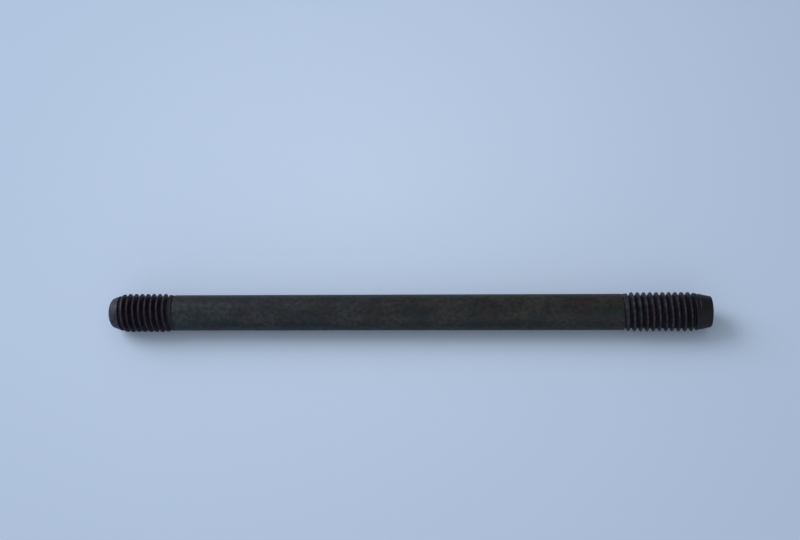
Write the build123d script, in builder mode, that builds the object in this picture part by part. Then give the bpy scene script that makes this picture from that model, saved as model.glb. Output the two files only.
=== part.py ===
from build123d import *

import math
import os

# Cylinder stud: one steel bar, M8 thread at both ends, plain thin shank between them.
#
# Frame: the axis lies along X, the nut end points to -X and the crankcase end to +X, +Z is up,
# and the thread crests touch the plane Z = 0. The origin is on that plane, under mid-length.

# Driving dimensions, in millimetres
overall_length = 123.7
shank_diameter = 7.35  # rolled blank, a little over the pitch diameter of the threads

# Both threads: coarse M8, right-hand, rolled
thread_diameter = 7.95  # over the crests
thread_pitch = 1.25
thread_angle = 60.0  # between the flanks of the groove, degrees
thread_depth = 0.75  # from the crests down to the roots
thread_root_width = 0.17  # flat at the bottom of the groove

# Nut end: short thread with a domed point
nut_thread_turns = 12  # full-depth turns, counted from outside the tip
nut_thread_end = 12.81  # from the tip to where the groove starts to fade
nut_runout_turns = 1.2
nut_dome_radius = 5.4
nut_dome_diameter = 6.0  # where the dome meets the lead cone
nut_lead_length = 2.7  # from the dome up to the full crests

# Crankcase end: longer thread with a tapered, flat-ended point
case_thread_turns = 14
case_thread_end = 15.66
case_runout_turns = 2
case_point_diameter = 6.2
case_point_length = 4.2
case_point_chamfer = 0.2  # broken edge around the flat end

# Places worked out from the sizes above
shank_radius = shank_diameter / 2
crest_radius = thread_diameter / 2
root_radius = crest_radius - thread_depth
axis_height = max(crest_radius, shank_radius)  # the stud lies on its thickest stretch
nut_tip_x = -overall_length / 2
case_tip_x = overall_length / 2
nut_thread_end_x = nut_tip_x + nut_thread_end
case_thread_end_x = case_tip_x - case_thread_end
stud_axis = Axis((0, 0, axis_height), (1, 0, 0))

groove_overcut = 0.08  # the groove cutter stands this much proud of the crests


def groove_cutter(start_x, direction, length, rise_angle):
    """One stretch of the V groove, swept along a right-hand helix around the stud's axis."""
    depth = crest_radius + groove_overcut - root_radius
    half_root = thread_root_width / 2
    half_mouth = half_root + depth * math.tan(math.radians(thread_angle / 2))
    with BuildPart() as cutter:
        with BuildLine() as path:
            Helix(
                pitch=thread_pitch,
                height=length,
                radius=root_radius,
                center=(start_x, 0, axis_height),
                direction=(direction, 0, 0),
                cone_angle=rise_angle,
            )
        start = path.line @ 0
        outward = start - Vector(start_x, 0, axis_height)
        across = Vector(1, 0, 0).cross(outward)
        with BuildSketch(Plane(origin=start, x_dir=(1, 0, 0), z_dir=across)):
            with BuildLine():
                Polyline(
                    (-half_root, 0),
                    (half_root, 0),
                    (half_mouth, depth),
                    (-half_mouth, depth),
                    close=True,
                )
            make_face()
        sweep(path=path.line, is_frenet=True)
    return cutter.part


def thread_grooves(end_x, direction, turns, runout_turns):
    """Full-depth turns up to end_x, then a stretch whose root rises out of the shank."""
    cutters = [
        groove_cutter(end_x - direction * turn * thread_pitch, direction, thread_pitch, 0)
        for turn in range(turns, 0, -1)
    ]
    runout_length = runout_turns * thread_pitch
    rise_angle = math.degrees(math.atan2(shank_radius + groove_overcut - root_radius, runout_length))
    cutters.append(groove_cutter(end_x, direction, runout_length, rise_angle))
    return cutters


grooves = thread_grooves(nut_thread_end_x, 1, nut_thread_turns, nut_runout_turns)
grooves += thread_grooves(case_thread_end_x, -1, case_thread_turns, case_runout_turns)

with BuildPart() as cylinder_stud:
    # Turned outline: domed point, crests, thin shank, crests, tapered point
    nut_dome_depth = nut_dome_radius - math.sqrt(nut_dome_radius**2 - (nut_dome_diameter / 2) ** 2)
    nut_lead_x = nut_tip_x + nut_dome_depth
    with BuildSketch(Plane(origin=(0, 0, axis_height), x_dir=(1, 0, 0), z_dir=(0, -1, 0))) as outline:
        with BuildLine():
            RadiusArc((nut_tip_x, 0), (nut_lead_x, nut_dome_diameter / 2), nut_dome_radius)
            Polyline(
                (nut_lead_x, nut_dome_diameter / 2),
                (nut_lead_x + nut_lead_length, crest_radius),
                (nut_thread_end_x, crest_radius),
                (nut_thread_end_x + nut_runout_turns * thread_pitch, shank_radius),
                (case_thread_end_x - case_runout_turns * thread_pitch, shank_radius),
                (case_thread_end_x, crest_radius),
                (case_tip_x - case_point_length, crest_radius),
                (case_tip_x, case_point_diameter / 2),
                (case_tip_x, 0),
                (nut_tip_x, 0),
            )
        make_face()
        chamfer(outline.vertices().group_by(Axis.X)[-1].sort_by(Axis.Y)[-1:], case_point_chamfer)
    revolve(axis=stud_axis)

    # Threads
    for groove in grooves:
        add(groove, mode=Mode.SUBTRACT)

cylinder_stud.part.label = "cylinder_stud"

os.makedirs("parts", exist_ok=True)
export_step(cylinder_stud.part, "parts/cylinder_stud.step")
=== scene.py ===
import math

import bpy
from mathutils import Matrix, Vector


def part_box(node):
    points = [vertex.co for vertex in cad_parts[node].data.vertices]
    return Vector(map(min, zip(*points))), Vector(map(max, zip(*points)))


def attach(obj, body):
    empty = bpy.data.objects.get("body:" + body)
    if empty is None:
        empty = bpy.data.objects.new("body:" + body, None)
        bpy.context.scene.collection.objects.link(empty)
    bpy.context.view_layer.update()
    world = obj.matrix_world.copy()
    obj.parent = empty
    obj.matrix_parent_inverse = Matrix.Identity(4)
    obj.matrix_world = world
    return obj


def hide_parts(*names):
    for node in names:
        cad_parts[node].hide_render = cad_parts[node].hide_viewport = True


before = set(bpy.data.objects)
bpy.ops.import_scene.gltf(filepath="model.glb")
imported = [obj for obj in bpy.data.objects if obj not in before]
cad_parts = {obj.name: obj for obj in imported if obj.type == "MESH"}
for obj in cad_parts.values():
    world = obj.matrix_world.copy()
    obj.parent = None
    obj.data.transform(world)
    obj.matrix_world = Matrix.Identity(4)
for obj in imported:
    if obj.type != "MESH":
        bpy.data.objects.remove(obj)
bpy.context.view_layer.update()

# Cylinder stud: one bar of medium-carbon steel, cut to length, its ends pointed and its two M8
# threads rolled cold between dies, then blackened in a hot oxide bath. The dies press the grooves
# in and the displaced steel rises to the crests, so the plain shank is thinner than the threads.
MM = 0.001
stud_low, stud_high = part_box("cylinder_stud")
stud_length = stud_high[0] - stud_low[0]
crest_radius = (stud_high[2] - stud_low[2]) / 2
axis_height = (stud_high[2] + stud_low[2]) / 2

thread_angle = math.radians(60)
stud_sizes = {
    "Length": stud_length,
    "Crest Radius": crest_radius,
    "Shank Radius": 3.675 * MM,
    "Thread Pitch": 1.25 * MM,
    "Thread Depth": 0.75 * MM,
    "Root Width": 0.17 * MM,
    "Root Rounding": 0.12 * MM,
    "Flank Rise": 1 / math.tan(thread_angle / 2),
    "Crest Rounding": 0.05 * MM,
    "Nut Groove Place": 12.81 * MM,
    "Nut Groove Fade": 12.75 * MM,
    "Nut Groove Fade Length": 3.3 * MM,
    "Nut Crest Fall": 12.0 * MM,
    "Nut Crest Fall Length": 1.5 * MM,
    "Nut Dome Radius": 5.4 * MM,
    "Nut Lead Radius": 3.0 * MM,
    "Nut Lead Slope": 0.361,
    "Nut Lead Blend": 0.5 * MM,
    "Case Groove Place": 15.035 * MM,
    "Case Groove Fade": 16.4 * MM,
    "Case Groove Fade Length": 2.9 * MM,
    "Case Crest Fall": 15.7 * MM,
    "Case Crest Fall Length": 1.9 * MM,
    "Case Groove Start": 1.3 * MM,
    "Case Groove Start Length": 2.1 * MM,
    "Case Point Radius": 3.1 * MM,
    "Case Point Slope": 0.208,
    "Case Point Rounding": 0.22 * MM,
    "Crest Blend": 0.3 * MM,
}


def feed(tree, term, socket):
    """Links a term that another node works out, and writes in one that is given."""
    if isinstance(term, bpy.types.NodeSocket):
        tree.links.new(term, socket)
    else:
        socket.default_value = term


def add_inputs(tree, names, kind="NodeSocketFloat"):
    """Gives a node group its named inputs."""
    for name in names:
        tree.interface.new_socket(name, in_out="INPUT", socket_type=kind)


def use_group(tree, group, terms):
    """Puts a node group into a tree, feeds its inputs by name and gives its outputs."""
    node = tree.nodes.new("GeometryNodeGroup")
    node.node_tree = group
    for name, term in terms.items():
        feed(tree, term, node.inputs[name])
    return node.outputs


class Sums:
    """Adds Math nodes to a tree, so that a formula reads as one."""

    def __init__(self, tree):
        self.tree = tree

    def __call__(self, operation, *terms):
        node = self.tree.nodes.new("ShaderNodeMath")
        node.operation = operation
        for socket, term in zip(node.inputs, terms):
            feed(self.tree, term, socket)
        return node.outputs[0]

    def vectors(self, operation, *terms):
        """The same for vectors. A length and a distance come out as a number."""
        node = self.tree.nodes.new("ShaderNodeVectorMath")
        node.operation = operation
        for socket, term in zip(node.inputs, terms):
            feed(self.tree, term, socket)
        return node.outputs["Value" if operation in ("LENGTH", "DISTANCE") else "Vector"]

    def smooth_step(self, value, start, length, low=0.0, high=1.0):
        """Goes gently from low to high over a length that begins at start."""
        node = self.tree.nodes.new("ShaderNodeMapRange")
        node.interpolation_type = "SMOOTHSTEP"
        end = self("ADD", start, length)
        for name, term in (
            ("Value", value),
            ("From Min", start),
            ("From Max", end),
            ("To Min", low),
            ("To Max", high),
        ):
            feed(self.tree, term, node.inputs[name])
        return node.outputs[0]


def thread_groove_tree():
    """Radius of a helical groove's wall, from the distance along the stud and the turn around it."""
    tree = bpy.data.node_groups.new("Thread groove", "GeometryNodeTree")
    add_inputs(
        tree,
        ["Along", "Turn", "Place", "Pitch", "Root Radius", "Root Width", "Root Rounding", "Flank Rise"],
    )
    tree.interface.new_socket("Radius", in_out="OUTPUT", socket_type="NodeSocketFloat")
    given = tree.nodes.new("NodeGroupInput").outputs
    sums = Sums(tree)
    # A right-hand groove moves along by one pitch in each turn, counted from the top of the stud
    pitches = sums("DIVIDE", sums("SUBTRACT", given["Along"], given["Place"]), given["Pitch"])
    turns = sums("SUBTRACT", pitches, given["Turn"])
    offset = sums("SUBTRACT", sums("FRACT", sums("ADD", turns, 0.5)), 0.5)
    from_middle = sums("MULTIPLY", sums("ABSOLUTE", offset), given["Pitch"])
    up_flank = sums("SUBTRACT", from_middle, sums("MULTIPLY", given["Root Width"], 0.5))
    flank = sums("ADD", given["Root Radius"], sums("MULTIPLY", up_flank, given["Flank Rise"]))
    wall = sums("SMOOTH_MAX", given["Root Radius"], flank, given["Root Rounding"])
    tree.links.new(wall, tree.nodes.new("NodeGroupOutput").inputs["Radius"])
    return tree


def stud_radius_tree(groove_tree):
    """Radius of the stud's skin at a distance along it and a turn around it."""
    tree = bpy.data.node_groups.new("Stud radius", "GeometryNodeTree")
    add_inputs(tree, ["Along", "Turn"] + list(stud_sizes))
    for name in ("Radius", "Groove Share"):
        tree.interface.new_socket(name, in_out="OUTPUT", socket_type="NodeSocketFloat")
    given = tree.nodes.new("NodeGroupInput").outputs
    sums = Sums(tree)
    along = given["Along"]
    from_case_tip = sums("SUBTRACT", given["Length"], along)
    crest = given["Crest Radius"]
    shank = given["Shank Radius"]
    root = sums("SUBTRACT", crest, given["Thread Depth"])
    clear = sums("ADD", crest, given["Crest Rounding"])

    # Domed point: a cap of a sphere, then a lead cone up to the crests
    dome_square = sums("POWER", given["Nut Dome Radius"], 2.0)
    to_centre = sums("MAXIMUM", sums("SUBTRACT", given["Nut Dome Radius"], along), 0.0)
    dome = sums("SQRT", sums("MAXIMUM", sums("SUBTRACT", dome_square, sums("POWER", to_centre, 2.0)), 0.0))
    lead_centre = sums("SQRT", sums("SUBTRACT", dome_square, sums("POWER", given["Nut Lead Radius"], 2.0)))
    lead_start = sums("SUBTRACT", given["Nut Dome Radius"], lead_centre)
    lead_rise = sums("MULTIPLY", sums("SUBTRACT", along, lead_start), given["Nut Lead Slope"])
    lead = sums("ADD", given["Nut Lead Radius"], lead_rise)
    nut_point = sums("SMOOTH_MIN", dome, lead, given["Nut Lead Blend"])

    # Tapered point: a cone, rounded over into the flat end
    rounding = given["Case Point Rounding"]
    cone = sums("ADD", given["Case Point Radius"], sums("MULTIPLY", from_case_tip, given["Case Point Slope"]))
    to_rounding = sums("MAXIMUM", sums("SUBTRACT", rounding, from_case_tip), 0.0)
    rounding_reach = sums("SUBTRACT", sums("POWER", rounding, 2.0), sums("POWER", to_rounding, 2.0))
    rounded_by = sums("SUBTRACT", rounding, sums("SQRT", sums("MAXIMUM", rounding_reach, 0.0)))
    case_point = sums("SUBTRACT", cone, rounded_by)

    # Crests at both ends fall to the shank where the rolling stopped
    nut_crest = sums.smooth_step(along, given["Nut Crest Fall"], given["Nut Crest Fall Length"], crest, shank)
    case_crest = sums.smooth_step(
        from_case_tip, given["Case Crest Fall"], given["Case Crest Fall Length"], crest, shank
    )
    rolled = sums("MAXIMUM", nut_crest, case_crest)
    outline = sums("SMOOTH_MIN", rolled, sums("MINIMUM", nut_point, case_point), given["Crest Blend"])

    # Groove roots rise and come out of the steel where the dies let go
    nut_root = sums.smooth_step(along, given["Nut Groove Fade"], given["Nut Groove Fade Length"], root, clear)
    case_root = sums.smooth_step(
        from_case_tip, given["Case Groove Fade"], given["Case Groove Fade Length"], root, clear
    )
    point_root = sums.smooth_step(
        from_case_tip, given["Case Groove Start"], given["Case Groove Start Length"], clear, root
    )
    nut_place = given["Nut Groove Place"]
    case_place = sums("SUBTRACT", given["Length"], given["Case Groove Place"])
    walls = []
    for place, rising_root in (
        (nut_place, nut_root),
        (case_place, sums("MAXIMUM", case_root, point_root)),
    ):
        groove_terms = {"Along": along, "Place": place, "Root Radius": rising_root}
        groove_terms["Pitch"] = given["Thread Pitch"]
        for name in ("Turn", "Root Width", "Root Rounding", "Flank Rise"):
            groove_terms[name] = given[name]
        walls.append(use_group(tree, groove_tree, groove_terms)["Radius"])
    skin = sums("SMOOTH_MIN", outline, sums("MINIMUM", *walls), given["Crest Rounding"])
    output = tree.nodes.new("NodeGroupOutput").inputs
    tree.links.new(skin, output["Radius"])
    pressed_in = sums("DIVIDE", sums("SUBTRACT", outline, skin), given["Thread Depth"])
    tree.links.new(pressed_in, output["Groove Share"])
    return tree


groove_attribute = "groove_share"


def stretch_tree(radius_tree):
    """One stretch of the stud's skin: a grid laid along the axis and wrapped around it."""
    tree = bpy.data.node_groups.new("Stud stretch", "GeometryNodeTree")
    add_inputs(tree, ["Start", "End", "Crowding", "Taper To Axis"])
    add_inputs(tree, ["Rows", "Around"], "NodeSocketInt")
    add_inputs(tree, list(stud_sizes) + ["Axis Height"])
    tree.interface.new_socket("Geometry", in_out="OUTPUT", socket_type="NodeSocketGeometry")
    given = tree.nodes.new("NodeGroupInput").outputs
    sums = Sums(tree)
    grid = tree.nodes.new("GeometryNodeMeshGrid")
    grid.inputs["Size X"].default_value = 1.0
    grid.inputs["Size Y"].default_value = 1.0
    tree.links.new(given["Rows"], grid.inputs["Vertices X"])
    tree.links.new(sums("ADD", given["Around"], 1.0), grid.inputs["Vertices Y"])
    flat = tree.nodes.new("ShaderNodeSeparateXYZ")
    tree.links.new(tree.nodes.new("GeometryNodeInputPosition").outputs[0], flat.inputs[0])
    # Crowding above 1 brings the rows together at the start, below 1 at the end
    share = sums("MINIMUM", sums("MAXIMUM", sums("ADD", flat.outputs["X"], 0.5), 0.0), 1.0)
    eased = sums("POWER", share, given["Crowding"])
    reach_along = sums("MULTIPLY", sums("SUBTRACT", given["End"], given["Start"]), eased)
    along = sums("ADD", given["Start"], reach_along)
    turn = sums("SUBTRACT", 0.5, flat.outputs["Y"])
    skin_terms = {"Along": along, "Turn": turn} | {name: given[name] for name in stud_sizes}
    skin = use_group(tree, radius_tree, skin_terms)
    left = sums("SUBTRACT", 1.0, sums("MULTIPLY", share, given["Taper To Axis"]))
    reach = sums("MULTIPLY", skin["Radius"], left)
    quarter_turn = 0.25
    angle = sums("MULTIPLY", sums("ADD", turn, quarter_turn), 2 * math.pi)
    place = tree.nodes.new("ShaderNodeCombineXYZ")
    up = sums("MULTIPLY", reach, sums("SINE", angle))
    tree.links.new(sums("SUBTRACT", along, sums("MULTIPLY", given["Length"], 0.5)), place.inputs["X"])
    tree.links.new(sums("MULTIPLY", reach, sums("COSINE", angle)), place.inputs["Y"])
    tree.links.new(sums("ADD", up, given["Axis Height"]), place.inputs["Z"])
    # The groove share is read off the flat grid, before the skin is wrapped
    capture = tree.nodes.new("GeometryNodeCaptureAttribute")
    capture.capture_items.new("FLOAT", "Share")
    tree.links.new(grid.outputs["Mesh"], capture.inputs["Geometry"])
    tree.links.new(skin["Groove Share"], capture.inputs["Share"])
    wrap = tree.nodes.new("GeometryNodeSetPosition")
    tree.links.new(capture.outputs["Geometry"], wrap.inputs["Geometry"])
    tree.links.new(place.outputs[0], wrap.inputs["Position"])
    keep = tree.nodes.new("GeometryNodeStoreNamedAttribute")
    keep.data_type = "FLOAT"
    keep.domain = "POINT"
    keep.inputs["Name"].default_value = groove_attribute
    tree.links.new(wrap.outputs[0], keep.inputs["Geometry"])
    tree.links.new(capture.outputs["Share"], keep.inputs["Value"])
    tree.links.new(keep.outputs[0], tree.nodes.new("NodeGroupOutput").inputs[0])
    return tree


facets_around = 96
rows_per_pitch = 28
dome_rows = 24
shank_rows = 24
rounding_rows = 16
end_face_rows = 10
merge_distance = 0.002 * MM


def stud_tree(material):
    """The whole stud: stretches of skin from the domed tip to the flat end, merged into one shell."""
    one_stretch = stretch_tree(stud_radius_tree(thread_groove_tree()))
    tree = bpy.data.node_groups.new("Stud", "GeometryNodeTree")
    tree.interface.new_socket("Geometry", in_out="INPUT", socket_type="NodeSocketGeometry")
    add_inputs(tree, list(stud_sizes) + ["Axis Height"])
    tree.interface.new_socket("Geometry", in_out="OUTPUT", socket_type="NodeSocketGeometry")
    given = tree.nodes.new("NodeGroupInput").outputs
    join = tree.nodes.new("GeometryNodeJoinGeometry")
    dome_end = 2.0 * MM
    nut_end = 16.2 * MM
    case_start = stud_length - 19.5 * MM
    point_start = stud_length - 0.8 * MM
    row = stud_sizes["Thread Pitch"] / rows_per_pitch
    nut_rows = round((nut_end - dome_end) / row)
    case_rows = round((point_start - case_start) / row)
    for start, end, crowding, taper, rows in (
        (0.0, dome_end, 2.0, 0.0, dome_rows),
        (dome_end, nut_end, 1.0, 0.0, nut_rows),
        (nut_end, case_start, 1.0, 0.0, shank_rows),
        (case_start, point_start, 1.0, 0.0, case_rows),
        (point_start, stud_length, 0.5, 0.0, rounding_rows),
        (stud_length, stud_length, 1.0, 1.0, end_face_rows),
    ):
        stretch_terms = {"Start": start, "End": end, "Crowding": crowding, "Taper To Axis": taper}
        stretch_terms |= {"Rows": rows, "Around": facets_around}
        for name in list(stud_sizes) + ["Axis Height"]:
            stretch_terms[name] = given[name]
        tree.links.new(use_group(tree, one_stretch, stretch_terms)["Geometry"], join.inputs[0])
    merge = tree.nodes.new("GeometryNodeMergeByDistance")
    merge.inputs["Distance"].default_value = merge_distance
    tree.links.new(join.outputs[0], merge.inputs["Geometry"])
    smooth = tree.nodes.new("GeometryNodeSetShadeSmooth")
    tree.links.new(merge.outputs[0], smooth.inputs["Geometry"])
    realize = tree.nodes.new("GeometryNodeRealizeInstances")
    tree.links.new(smooth.outputs[0], realize.inputs[0])
    finish = tree.nodes.new("GeometryNodeSetMaterial")
    finish.inputs["Material"].default_value = material
    tree.links.new(realize.outputs[0], finish.inputs["Geometry"])
    tree.links.new(finish.outputs[0], tree.nodes.new("NodeGroupOutput").inputs[0])
    return tree


def mixed(tree, share, low, high):
    """A colour that goes from low to high with a share."""
    mix = tree.nodes.new("ShaderNodeMix")
    mix.data_type = "RGBA"
    first_colour, second_colour, mixed_colour = mix.inputs[6], mix.inputs[7], mix.outputs[2]
    feed(tree, share, mix.inputs["Factor"])
    feed(tree, low, first_colour)
    feed(tree, high, second_colour)
    return mixed_colour


blue_oxide = (0.0058, 0.0116, 0.0164, 1)
brown_oxide = (0.0166, 0.0122, 0.0106, 1)
violet_bloom = (0.0190, 0.0075, 0.0195, 1)
green_bloom = (0.0045, 0.0175, 0.0085, 1)
grey_cloud = (0.0200, 0.0206, 0.0218, 1)
black_speck = (0.0035, 0.0040, 0.0048, 1)
# darker, browner tone towards the tapered point
point_dark_tone = (0.0042, 0.0034, 0.0036, 1)
# painted highlight and rubbed wear on the domed tip
dome_rub_and_highlight_tone = (0.028, 0.021, 0.035, 1)
# darker tone where the nut's thread runs out
runout_dark_tone = (0.0050, 0.0036, 0.0050, 1)
# oil and painted shade in the thread roots
root_oil_and_shade = (0.0012, 0.0008, 0.0014, 1)
worn_steel = (0.036, 0.034, 0.035, 1)

# Tints at the nut end and at the crankcase end: a painted blue light cast and a painted warm reflection, then
# the oil film's tints
nut_blue_light_cast = (0.85, 1.10, 1.27, 1)
case_warm_reflection = (0.98, 0.92, 0.66, 1)
nut_oil = (0.80, 0.50, 0.90, 1)
case_oil = (0.82, 0.81, 1.16, 1)


def black_oxide():
    """Matte blue-black oxide: clouded, drawn along the bar, with oil and painted shade in the roots, rubbed
    and painted with a highlight at the tip, and painted light casts along it.
    """
    material = bpy.data.materials.new("black_oxide_steel")
    material.use_nodes = True
    tree = material.node_tree
    nodes, links = tree.nodes, tree.links
    sums = Sums(tree)
    shader = nodes["Principled BSDF"]

    # Millimetres from the stud's axis and mid-length
    measured = nodes.new("ShaderNodeMapping")
    measured.inputs["Scale"].default_value = (1 / MM,) * 3
    measured.inputs["Location"].default_value = (0, 0, -axis_height / MM)
    links.new(nodes.new("ShaderNodeTexCoord").outputs["Object"], measured.inputs["Vector"])
    separated = nodes.new("ShaderNodeSeparateXYZ")
    links.new(measured.outputs[0], separated.inputs[0])
    along_bar = separated.outputs["X"]
    case_tip = stud_length / MM / 2
    nut_runout = 13.7 - case_tip

    def noise(along, across, detail, seed, roughness=0.5):
        """Noise with that many features in each millimetre along the bar and across it."""
        stretch = nodes.new("ShaderNodeMapping")
        stretch.inputs["Scale"].default_value = (along, across, across)
        links.new(measured.outputs[0], stretch.inputs["Vector"])
        texture = nodes.new("ShaderNodeTexNoise")
        texture.noise_dimensions = "4D"
        texture.inputs["W"].default_value = seed
        texture.inputs["Scale"].default_value = 1.0
        texture.inputs["Detail"].default_value = detail
        texture.inputs["Roughness"].default_value = roughness
        links.new(stretch.outputs[0], texture.inputs["Vector"])
        return texture.outputs["Fac"]

    # Bath clouds a few millimetres long, tinted blue to brown and green to violet, over a speckle
    clouds = noise(along=0.16, across=0.30, detail=2.0, seed=3.0)
    tints = noise(along=0.13, across=0.28, detail=2.0, seed=11.0)
    hues = noise(along=0.30, across=0.42, detail=1.0, seed=23.0)
    speckle = noise(along=1.15, across=1.5, detail=2.0, seed=5.0, roughness=0.55)
    grain = noise(along=6.0, across=7.0, detail=2.0, seed=17.0)
    draw_lines = noise(along=0.10, across=5.0, detail=2.0, seed=8.0)
    bloom_share = 0.45
    oxide = mixed(tree, sums.smooth_step(tints, start=0.36, length=0.28), blue_oxide, brown_oxide)
    violet = sums("MULTIPLY", sums.smooth_step(hues, start=0.52, length=0.16), bloom_share)
    green = sums("MULTIPLY", sums.smooth_step(hues, start=0.48, length=-0.16), bloom_share)
    oxide = mixed(tree, violet, oxide, violet_bloom)
    oxide = mixed(tree, green, oxide, green_bloom)
    oxide = mixed(tree, sums.smooth_step(clouds, start=0.38, length=0.24), oxide, grey_cloud)
    speck_share = 0.7
    dark_speck = sums("MULTIPLY", sums.smooth_step(speckle, start=0.62, length=-0.26), speck_share)
    oxide = mixed(tree, dark_speck, oxide, black_speck)

    # Darker and a little browner towards the tapered point
    point_dark_share = 0.75
    toward_point = sums.smooth_step(along_bar, start=case_tip - 10.0, length=8.0)
    oxide = mixed(tree, sums("MULTIPLY", toward_point, point_dark_share), oxide, point_dark_tone)

    # The domed tip is lighter: rubbed from handling, and a painted highlight of the light from the left
    dome_rub_and_highlight_place = sums.smooth_step(along_bar, start=2.9 - case_tip, length=-0.7)
    dome_rub_and_highlight = sums("MULTIPLY", dome_rub_and_highlight_place, sums.smooth_step(speckle, start=0.34, length=0.34))
    oxide = mixed(tree, dome_rub_and_highlight, oxide, dome_rub_and_highlight_tone)

    # Darker where the nut's thread runs out
    runout_dark_share = 0.6
    runout_dark_start = sums.smooth_step(along_bar, start=nut_runout - 1.0, length=0.6)
    runout_dark_end = sums.smooth_step(along_bar, start=nut_runout + 0.6, length=-0.6)
    runout_darkening = sums("MULTIPLY", runout_dark_start, runout_dark_end)
    oxide = mixed(tree, sums("MULTIPLY", runout_darkening, runout_dark_share), oxide, runout_dark_tone)

    # Painted shade: the groove's own depth darkens the roots, for the shade deep in them and the oil left
    # there, more in some places than in others
    groove_share = nodes.new("ShaderNodeAttribute")
    groove_share.attribute_name = groove_attribute
    in_groove = sums.smooth_step(groove_share.outputs["Fac"], start=0.6, length=0.4)
    fullest_root, root_unevenness = 1.25, 0.8
    uneven = sums("SUBTRACT", fullest_root, sums("MULTIPLY", speckle, root_unevenness))
    oxide = mixed(tree, sums("MULTIPLY", in_groove, uneven), oxide, root_oil_and_shade)

    # Distance from the axis finds the crests, which are worn here and there
    worn_share = 0.6
    across_bar = sums.vectors("MULTIPLY", measured.outputs[0], (0, 1, 1))
    from_axis = sums.vectors("LENGTH", across_bar)
    crest = sums.smooth_step(from_axis, start=crest_radius / MM - 0.12, length=0.1)
    worn = sums("MULTIPLY", crest, sums.smooth_step(speckle, start=0.43, length=0.20))
    oxide = mixed(tree, sums("MULTIPLY", worn, worn_share), oxide, worn_steel)

    # Painted light: a painted cast of bluish window light tints the nut end, a painted warm reflection the
    # crankcase end. The oil film of rolling gives both threads and the tapered point a violet cast
    nut_film = sums.smooth_step(along_bar, start=nut_runout, length=-0.6)
    case_film = sums.smooth_step(along_bar, start=case_tip - 18.2, length=0.8)
    clean_dome = sums("SUBTRACT", 1.0, dome_rub_and_highlight_place)
    filmed = sums("MAXIMUM", sums("MULTIPLY", nut_film, clean_dome), case_film)
    to_case = sums.smooth_step(along_bar, start=-case_tip, length=2 * case_tip)
    painted_light_cast = mixed(tree, to_case, nut_blue_light_cast, case_warm_reflection)
    oil_film_and_light_cast = mixed(tree, filmed, painted_light_cast, mixed(tree, to_case, nut_oil, case_oil))
    links.new(sums.vectors("MULTIPLY", oxide, oil_film_and_light_cast), shader.inputs["Base Color"])

    # Rougher in the clouds, the roots and where the nut's thread runs out, smoother where the crests are worn
    plain_roughness, cloud_roughness, root_roughness, worn_smoothness = 0.40, 0.16, 0.25, 0.08
    matte = sums("ADD", plain_roughness, sums("MULTIPLY", clouds, cloud_roughness))
    matte = sums("ADD", matte, sums("MULTIPLY", sums("MAXIMUM", in_groove, runout_darkening), root_roughness))
    matte = sums("SUBTRACT", matte, sums("MULTIPLY", worn, worn_smoothness))
    links.new(matte, shader.inputs["Roughness"])
    shader.inputs["Specular IOR Level"].default_value = 0.19
    shader.inputs["Specular Tint"].default_value = (0.87, 0.92, 1.03, 1)

    # Grain, drawing lines and speckle stand a few hundredths of a millimetre high
    grain_height, line_height, speckle_height = 0.5, 0.5, 1.5
    height = sums("ADD", sums("MULTIPLY", grain, grain_height), sums("MULTIPLY", draw_lines, line_height))
    height = sums("ADD", height, sums("MULTIPLY", speckle, speckle_height))
    bump = nodes.new("ShaderNodeBump")
    bump.inputs["Strength"].default_value = 0.8
    bump.inputs["Distance"].default_value = 0.02 * MM
    links.new(height, bump.inputs["Height"])
    links.new(bump.outputs[0], shader.inputs["Normal"])
    return material


carrier = bpy.data.objects.new("stud_carrier", bpy.data.meshes.new("stud_carrier"))
bpy.context.scene.collection.objects.link(carrier)
modifier = carrier.modifiers.new("Stud", "NODES")
modifier.node_group = stud_tree(black_oxide())
tree_items = modifier.node_group.interface.items_tree
identifiers = {item.name: item.identifier for item in tree_items if item.in_out == "INPUT"}
for name, value in stud_sizes.items():
    modifier[identifiers[name]] = value
modifier[identifiers["Axis Height"]] = axis_height
shell = bpy.data.meshes.new_from_object(carrier.evaluated_get(bpy.context.evaluated_depsgraph_get()))
bpy.data.objects.remove(carrier)
stud = bpy.data.objects.new("black_oxide_stud", shell)
bpy.context.scene.collection.objects.link(stud)
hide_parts("cylinder_stud")
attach(stud, "root")

# Floor: a large sheet of pale blue-grey paper under the stud, with a painted pool of light that makes it a
# shade paler behind its middle. Beyond that it carries only the shadow and the light that comes back up.
floor_mesh = bpy.data.meshes.new("paper_floor")
half_side = 3.0
corners = [(x * half_side, y * half_side, 0) for x, y in ((-1, -1), (1, -1), (1, 1), (-1, 1))]
floor_mesh.from_pydata(corners, [], [(0, 1, 2, 3)])
floor = bpy.data.objects.new("paper_floor", floor_mesh)
bpy.context.scene.collection.objects.link(floor)
# Painted pool of light: paler paper near its centre behind the stud, darker farther out
pool_lit_tone = (0.442, 0.545, 0.704, 1)
beyond_pool_tone = (0.350, 0.441, 0.597, 1)
light_pool_centre = (-8 * MM, 32 * MM, 0)
paper = bpy.data.materials.new("pale_paper")
paper.use_nodes = True
paper_tree = paper.node_tree
paper_sums = Sums(paper_tree)
paper_place = paper_tree.nodes.new("ShaderNodeTexCoord").outputs["Object"]
from_light_pool = paper_sums.vectors("DISTANCE", paper_place, light_pool_centre)
light_pool_falloff = paper_sums.smooth_step(from_light_pool, start=-20 * MM, length=170 * MM)
paper_surface = paper_tree.nodes["Principled BSDF"]
paper_and_light_pool_tone = mixed(paper_tree, light_pool_falloff, pool_lit_tone, beyond_pool_tone)
paper_tree.links.new(paper_and_light_pool_tone, paper_surface.inputs["Base Color"])
paper_surface.inputs["Roughness"].default_value = 0.9
paper_surface.inputs["Specular IOR Level"].default_value = 0.1
floor_mesh.materials.append(paper)

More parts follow.
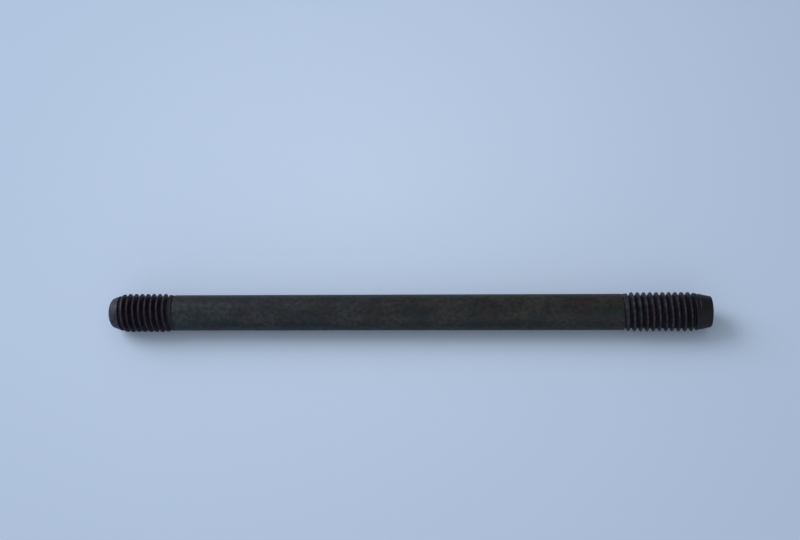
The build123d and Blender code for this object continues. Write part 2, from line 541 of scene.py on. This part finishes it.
# Light: a soft white sky, brighter on the left and most of all low down in front, as in a room with
# its windows there, and one large soft panel up to the left and behind.
sky_level = 0.664
left_lean = -0.6
front_lean = -0.34
window_level = 0.95
world = bpy.data.worlds.new("soft_sky")
world.use_nodes = True
sky_nodes, sky_links = world.node_tree.nodes, world.node_tree.links
sky_sums = Sums(world.node_tree)
sky_direction = sky_nodes.new("ShaderNodeSeparateXYZ")
sky_links.new(sky_nodes.new("ShaderNodeTexCoord").outputs["Generated"], sky_direction.inputs[0])
lean_left = sky_sums("MULTIPLY", sky_direction.outputs["X"], left_lean)
lean_front = sky_sums("MULTIPLY", sky_direction.outputs["Y"], front_lean)
windows = sky_sums.smooth_step(sky_direction.outputs["Y"], start=-0.6, length=-0.4, high=window_level)
lean = sky_sums("ADD", sky_sums("ADD", lean_left, lean_front), windows)
sky_strength = sky_sums("MULTIPLY", sky_sums("ADD", lean, 1.0), sky_level)
sky_nodes["Background"].inputs["Color"].default_value = (1.0, 1.0, 1.0, 1)
sky_links.new(sky_strength, sky_nodes["Background"].inputs["Strength"])
bpy.context.scene.world = world
panel_light = bpy.data.lights.new("soft_panel", "AREA")
panel_light.shape = "DISK"
panel_light.size = 0.8
panel_light.energy = 9.0
panel = bpy.data.objects.new("soft_panel", panel_light)
panel.location = (-0.8, 0.35, 0.7)
panel.rotation_euler = (-panel.location).to_track_quat("-Z", "Y").to_euler()
bpy.context.scene.collection.objects.link(panel)

# Camera: high above the front, looking down at 60 degrees, a little right of the middle. It is
# rolled a few degrees, so that the stud lies nearly level across the view.
camera_data = bpy.data.cameras.new("camera")
camera_data.lens = 50.4
camera_data.sensor_width = 36.0
camera_data.clip_start = 0.01
camera = bpy.data.objects.new("camera", camera_data)
eye = Vector((15.783 * MM, -114.853 * MM, axis_height + 198.931 * MM))
aim = Vector((-1.273 * MM, 10.285 * MM, axis_height))
roll = math.radians(6.846)
turned = (aim - eye).to_track_quat("-Z", "Y").to_matrix() @ Matrix.Rotation(-roll, 3, "Z")
camera.matrix_world = Matrix.Translation(eye) @ turned.to_4x4()
bpy.context.scene.collection.objects.link(camera)
bpy.context.scene.camera = camera
bpy.context.scene.view_settings.view_transform = "Standard"
